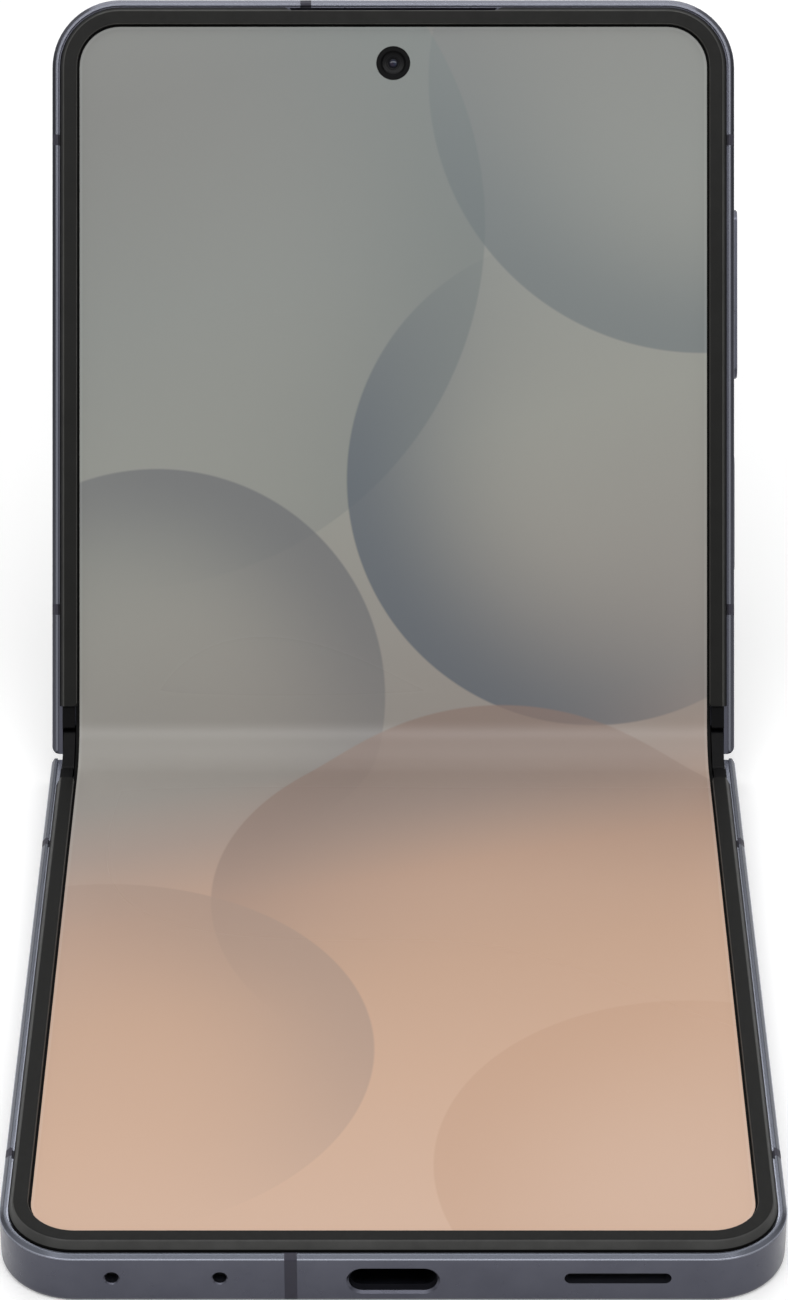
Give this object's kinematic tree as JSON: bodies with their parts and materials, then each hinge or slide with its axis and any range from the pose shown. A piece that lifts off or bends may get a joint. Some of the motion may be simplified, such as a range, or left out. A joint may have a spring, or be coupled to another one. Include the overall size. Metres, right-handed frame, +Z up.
{
  "type": "foldable smartphone",
  "caption": "Folding phone with a flexible display: two slim halves on a geared two-axis hinge, standing part-open with its lower half flat on the table.",
  "frame": {"origin": "middle of the lower half's back face, which lies on the table", "axes": "+Z up from the table; +Y from the charging port towards the fold; +X to the right of a viewer facing the screen"},
  "size_m": [0.0756, 0.1332, 0.0752],
  "materials": {
    "frame_metal": "anodised satin, dark blue-grey",
    "band_plastic": "moulded, matt",
    "back_glass": "satin glass over a dark film",
    "bezel_plastic": "soft matt black",
    "screen": "glossy flexible display",
    "screen_glass": "gloss black",
    "battery_foil": "pouch foil",
    "circuit_board": "solder mask",
    "steel": "stamped steel",
    "hinge_steel": "ground steel",
    "brass_parts": "machined",
    "copper_coil": "flat copper winding",
    "black_plastic": "moulded black",
    "cap_plastic": "black, half gloss",
    "key_metal": "anodised, polished rim",
    "lens": "coated lens",
    "flash_lens": "textured diffuser"
  },
  "bodies": {
    "base": {"lower_frame": "frame_metal", "lower_antenna_bands": "band_plastic", "lower_back_glass": "back_glass", "lower_bezel": "bezel_plastic", "lower_screen": "screen", "lower_battery": "battery_foil", "lower_board": "circuit_board", "charging_port": "steel", "loudspeaker": "black_plastic", "microphones": "brass_parts", "vibration_motor": "steel", "charging_coil": "copper_coil", "lower_rotators": "hinge_steel", "lower_wing_plate": "steel", "lower_screws": "steel", "lower_fold_trims": "cap_plastic"},
    "spine": {"spine_cover": "frame_metal", "hinge_brackets": "hinge_steel", "hinge_caps": "cap_plastic", "gear_pins": "steel", "spine_screws": "steel", "screen_fold": "screen"},
    "first_gears": {"first_gears": "brass_parts"},
    "second_gears": {"second_gears": "brass_parts"},
    "third_gears": {"third_gears": "brass_parts"},
    "fourth_gears": {"fourth_gears": "brass_parts"},
    "lid": {"upper_frame": "frame_metal", "upper_antenna_bands": "band_plastic", "cover_glass": "screen_glass", "cover_screen": "screen_glass", "upper_bezel": "bezel_plastic", "upper_fold_trims": "cap_plastic", "upper_screen": "screen", "upper_battery": "battery_foil", "main_board": "circuit_board", "front_camera": "lens", "earpiece": "black_plastic", "earpiece_mesh": "black_plastic", "rear_cameras": "black_plastic", "camera_rings": "key_metal", "camera_lenses": "lens", "flash": "flash_lens", "upper_rotators": "hinge_steel", "upper_wing_plate": "steel", "upper_screws": "steel", "key_switches": "brass_parts", "tray_socket": "steel"},
    "volume_key": {"volume_key": "key_metal"},
    "side_key": {"side_key": "key_metal"},
    "sim_tray": {"sim_tray": "key_metal"}
  },
  "joints": [
    {"name": "lower_fold", "type": "hinge", "parent": "base", "child": "spine", "pos_m": [0, 0.03997, 0.00505], "axis": [1, 0, 0], "range_deg": [-28.5, 61.5], "deforming": ["screen_fold"]},
    {"name": "upper_fold", "type": "hinge", "parent": "spine", "child": "lid", "pos_m": [0, 0.04314, 0.00677], "axis": [1, 0, 0], "range_deg": [-28.5, 61.5]},
    {"name": "first_gear_turn", "type": "hinge", "parent": "spine", "child": "first_gears", "pos_m": [0, 0.04114, 0.00259], "axis": [1, 0, 0], "range_deg": [-91.44, 196.75]},
    {"name": "second_gear_turn", "type": "hinge", "parent": "spine", "child": "second_gears", "pos_m": [0, 0.04228, 0.00321], "axis": [1, 0, 0], "range_deg": [-196.75, 91.44]},
    {"name": "third_gear_turn", "type": "hinge", "parent": "spine", "child": "third_gears", "pos_m": [0, 0.04343, 0.00383], "axis": [1, 0, 0], "range_deg": [-91.44, 196.75]},
    {"name": "fourth_gear_turn", "type": "hinge", "parent": "spine", "child": "fourth_gears", "pos_m": [0, 0.04457, 0.00445], "axis": [1, 0, 0], "range_deg": [-196.75, 91.44]},
    {"name": "volume_press", "type": "slide", "parent": "lid", "child": "volume_key", "axis": [-1, 0, 0], "range_m": [0, 0.00025], "stiffness_N_per_m": 400},
    {"name": "side_press", "type": "slide", "parent": "lid", "child": "side_key", "axis": [-1, 0, 0], "range_m": [0, 0.00025], "stiffness_N_per_m": 400},
    {"name": "tray_slide", "type": "slide", "parent": "lid", "child": "sim_tray", "axis": [-1, 0, 0], "range_m": [0, 0.018]}
  ],
  "couplings": [
    {"joint": "upper_fold", "follows": "lower_fold", "ratio": 1},
    {"joint": "first_gear_turn", "follows": "lower_fold", "ratio": 3.191},
    {"joint": "second_gear_turn", "follows": "lower_fold", "ratio": -3.191},
    {"joint": "third_gear_turn", "follows": "lower_fold", "ratio": 3.191},
    {"joint": "fourth_gear_turn", "follows": "lower_fold", "ratio": -3.191}
  ]
}
